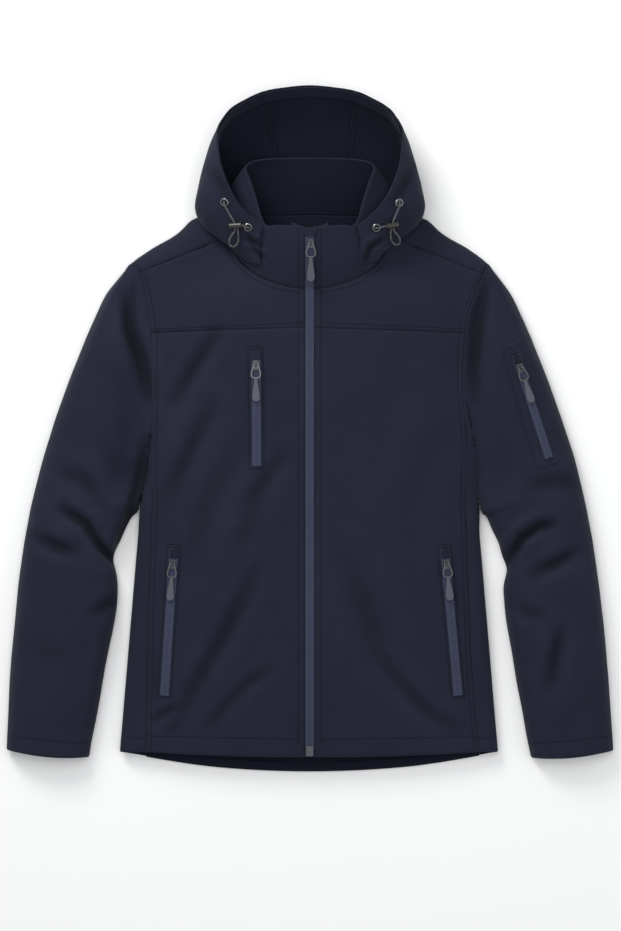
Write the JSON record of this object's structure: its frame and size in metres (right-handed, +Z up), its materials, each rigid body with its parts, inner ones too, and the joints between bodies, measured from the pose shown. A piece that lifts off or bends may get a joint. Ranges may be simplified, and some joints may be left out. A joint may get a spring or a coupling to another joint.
{
  "type": "rain jacket",
  "caption": "Hooded softshell jacket laid flat on its back: zipped front, zipped hand, chest and sleeve pockets, and a drawcord hood with barrel locks.",
  "frame": {"origin": "on the surface that the jacket lies on, under the middle of its box", "axes": "+Y from the hem to the top of the hood, +Z up from the surface, -X towards the sleeve on the left as one looks down on the front"},
  "size_m": [0.8176, 0.926, 0.08],
  "materials": {
    "softshell": "matt woven softshell, navy",
    "softshell_inside": "matt knitted backing, dark navy",
    "zip_tape": "woven tape, blue grey",
    "metal": "satin grey metal",
    "grip": "soft matt rubber, grey",
    "cord": "braided elastic cord, dark grey",
    "cord_lock": "moulded barrel, grey"
  },
  "bodies": {
    "jacket": {"back": "softshell", "front_left": "softshell", "front_right": "softshell", "front_yoke_left": "softshell", "front_yoke_right": "softshell", "side_panel_left": "softshell", "side_panel_right": "softshell", "sleeve_left": "softshell", "sleeve_right": "softshell", "collar": "softshell", "hood_left": "softshell", "hood_centre": "softshell", "hood_right": "softshell", "sleeve_pocket_patch": "softshell", "main_zip_garage": "softshell", "chest_zip_garage": "softshell", "hood_brim_facing": "softshell_inside", "hanger_loop": "softshell_inside", "main_zip_tape": "zip_tape", "chest_zip_tape": "zip_tape", "hand_left_zip_tape": "zip_tape", "hand_right_zip_tape": "zip_tape", "sleeve_zip_tape": "zip_tape", "main_slider": "metal", "chest_zip_slider": "metal", "hand_left_zip_slider": "metal", "hand_right_zip_slider": "metal", "sleeve_zip_slider": "metal", "main_zip_box": "metal", "eyelet_upper_left": "metal", "eyelet_lower_left": "metal", "eyelet_upper_right": "metal", "eyelet_lower_right": "metal", "cord_lock_left": "cord_lock", "cord_lock_right": "cord_lock", "drawcord_left": "cord", "drawcord_right": "cord"},
    "pull_main": {"main_pull_link": "metal", "main_pull_grip": "grip"},
    "pull_chest": {"chest_zip_pull_link": "metal", "chest_zip_pull_grip": "grip"},
    "pull_hand_left": {"hand_left_zip_pull_link": "metal", "hand_left_zip_pull_grip": "grip"},
    "pull_hand_right": {"hand_right_zip_pull_link": "metal", "hand_right_zip_pull_grip": "grip"},
    "pull_sleeve": {"sleeve_zip_pull_link": "metal", "sleeve_zip_pull_grip": "grip"}
  },
  "joints": [
    {"name": "main_pull_hinge", "type": "hinge", "parent": "jacket", "child": "pull_main", "pos_m": [0.0011, 0.24817, 0.06567], "axis": [-1, 0, 0], "range_deg": [0, 150]},
    {"name": "chest_pull_hinge", "type": "hinge", "parent": "jacket", "child": "pull_chest", "pos_m": [-0.07296, 0.086, 0.0469], "axis": [-0.9996, -0.0076, -0.029], "range_deg": [0, 150]},
    {"name": "hand_left_pull_hinge", "type": "hinge", "parent": "jacket", "child": "pull_hand_left", "pos_m": [-0.18577, -0.18294, 0.03268], "axis": [-0.9753, 0.068, -0.2101], "range_deg": [0, 150]},
    {"name": "hand_right_pull_hinge", "type": "hinge", "parent": "jacket", "child": "pull_hand_right", "pos_m": [0.18471, -0.18291, 0.03234], "axis": [-0.972, -0.0946, 0.2153], "range_deg": [0, 150]},
    {"name": "sleeve_pull_hinge", "type": "hinge", "parent": "jacket", "child": "pull_sleeve", "pos_m": [0.28379, 0.0821, 0.04261], "axis": [-0.9274, -0.3033, 0.2189], "range_deg": [0, 150]}
  ]
}
